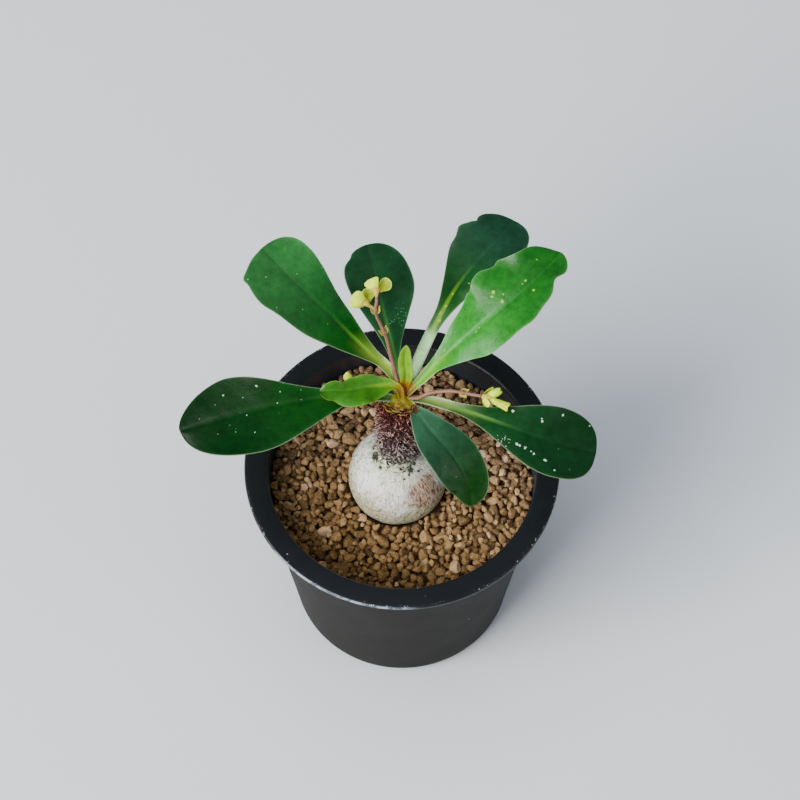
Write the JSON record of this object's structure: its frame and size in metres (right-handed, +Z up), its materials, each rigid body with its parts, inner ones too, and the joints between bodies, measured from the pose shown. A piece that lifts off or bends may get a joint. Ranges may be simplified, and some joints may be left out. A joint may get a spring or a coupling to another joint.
{
  "type": "potted euphorbia ramena",
  "caption": "Small caudex-forming succulent in a black round pot of tan granular soil: a pale globe with a short bristly neck, a rosette of spatulate leaves and slim flower stalks.",
  "frame": {"origin": "centre of the pot's underside, on the pot's axis, in the plane that the pot stands on", "axes": "+Z up along the pot's axis, +X to the right and +Y away from the viewer as the picture shows it"},
  "size_m": [0.1289, 0.1126, 0.1504],
  "materials": {
    "pot": "satin black, with fine pale specks of wear along the lip's edge",
    "screen": "matte dark mesh",
    "soil": "rough tan fired-clay granules",
    "caudex": "pale corky bark with fine upright streaks",
    "stem": "dense stiff bristles, dark red above and grey below",
    "leaf": "smooth leathery, semi-gloss",
    "young_leaf": "smooth, semi-gloss",
    "flower_stalk": "smooth satin",
    "flower": "smooth satin"
  },
  "bodies": {
    "root": {"pot": "pot", "drain_screen": "screen", "soil": "soil", "caudex": "caudex", "stem": "stem", "leaf_left": "leaf", "leaf_upper_left": "leaf", "leaf_back": "leaf", "leaf_back_right": "leaf", "leaf_right_upper": "leaf", "leaf_right": "leaf", "leaf_front": "leaf", "leaf_small": "young_leaf", "leaf_tiny": "young_leaf", "flower_stalk_upper": "flower_stalk", "flower_stalk_right": "flower_stalk", "flower_stalk_left": "flower_stalk", "flower_upper_a": "flower", "flower_upper_b": "flower", "flower_right": "flower", "flower_left_bud": "flower"}
  },
  "joints": []
}
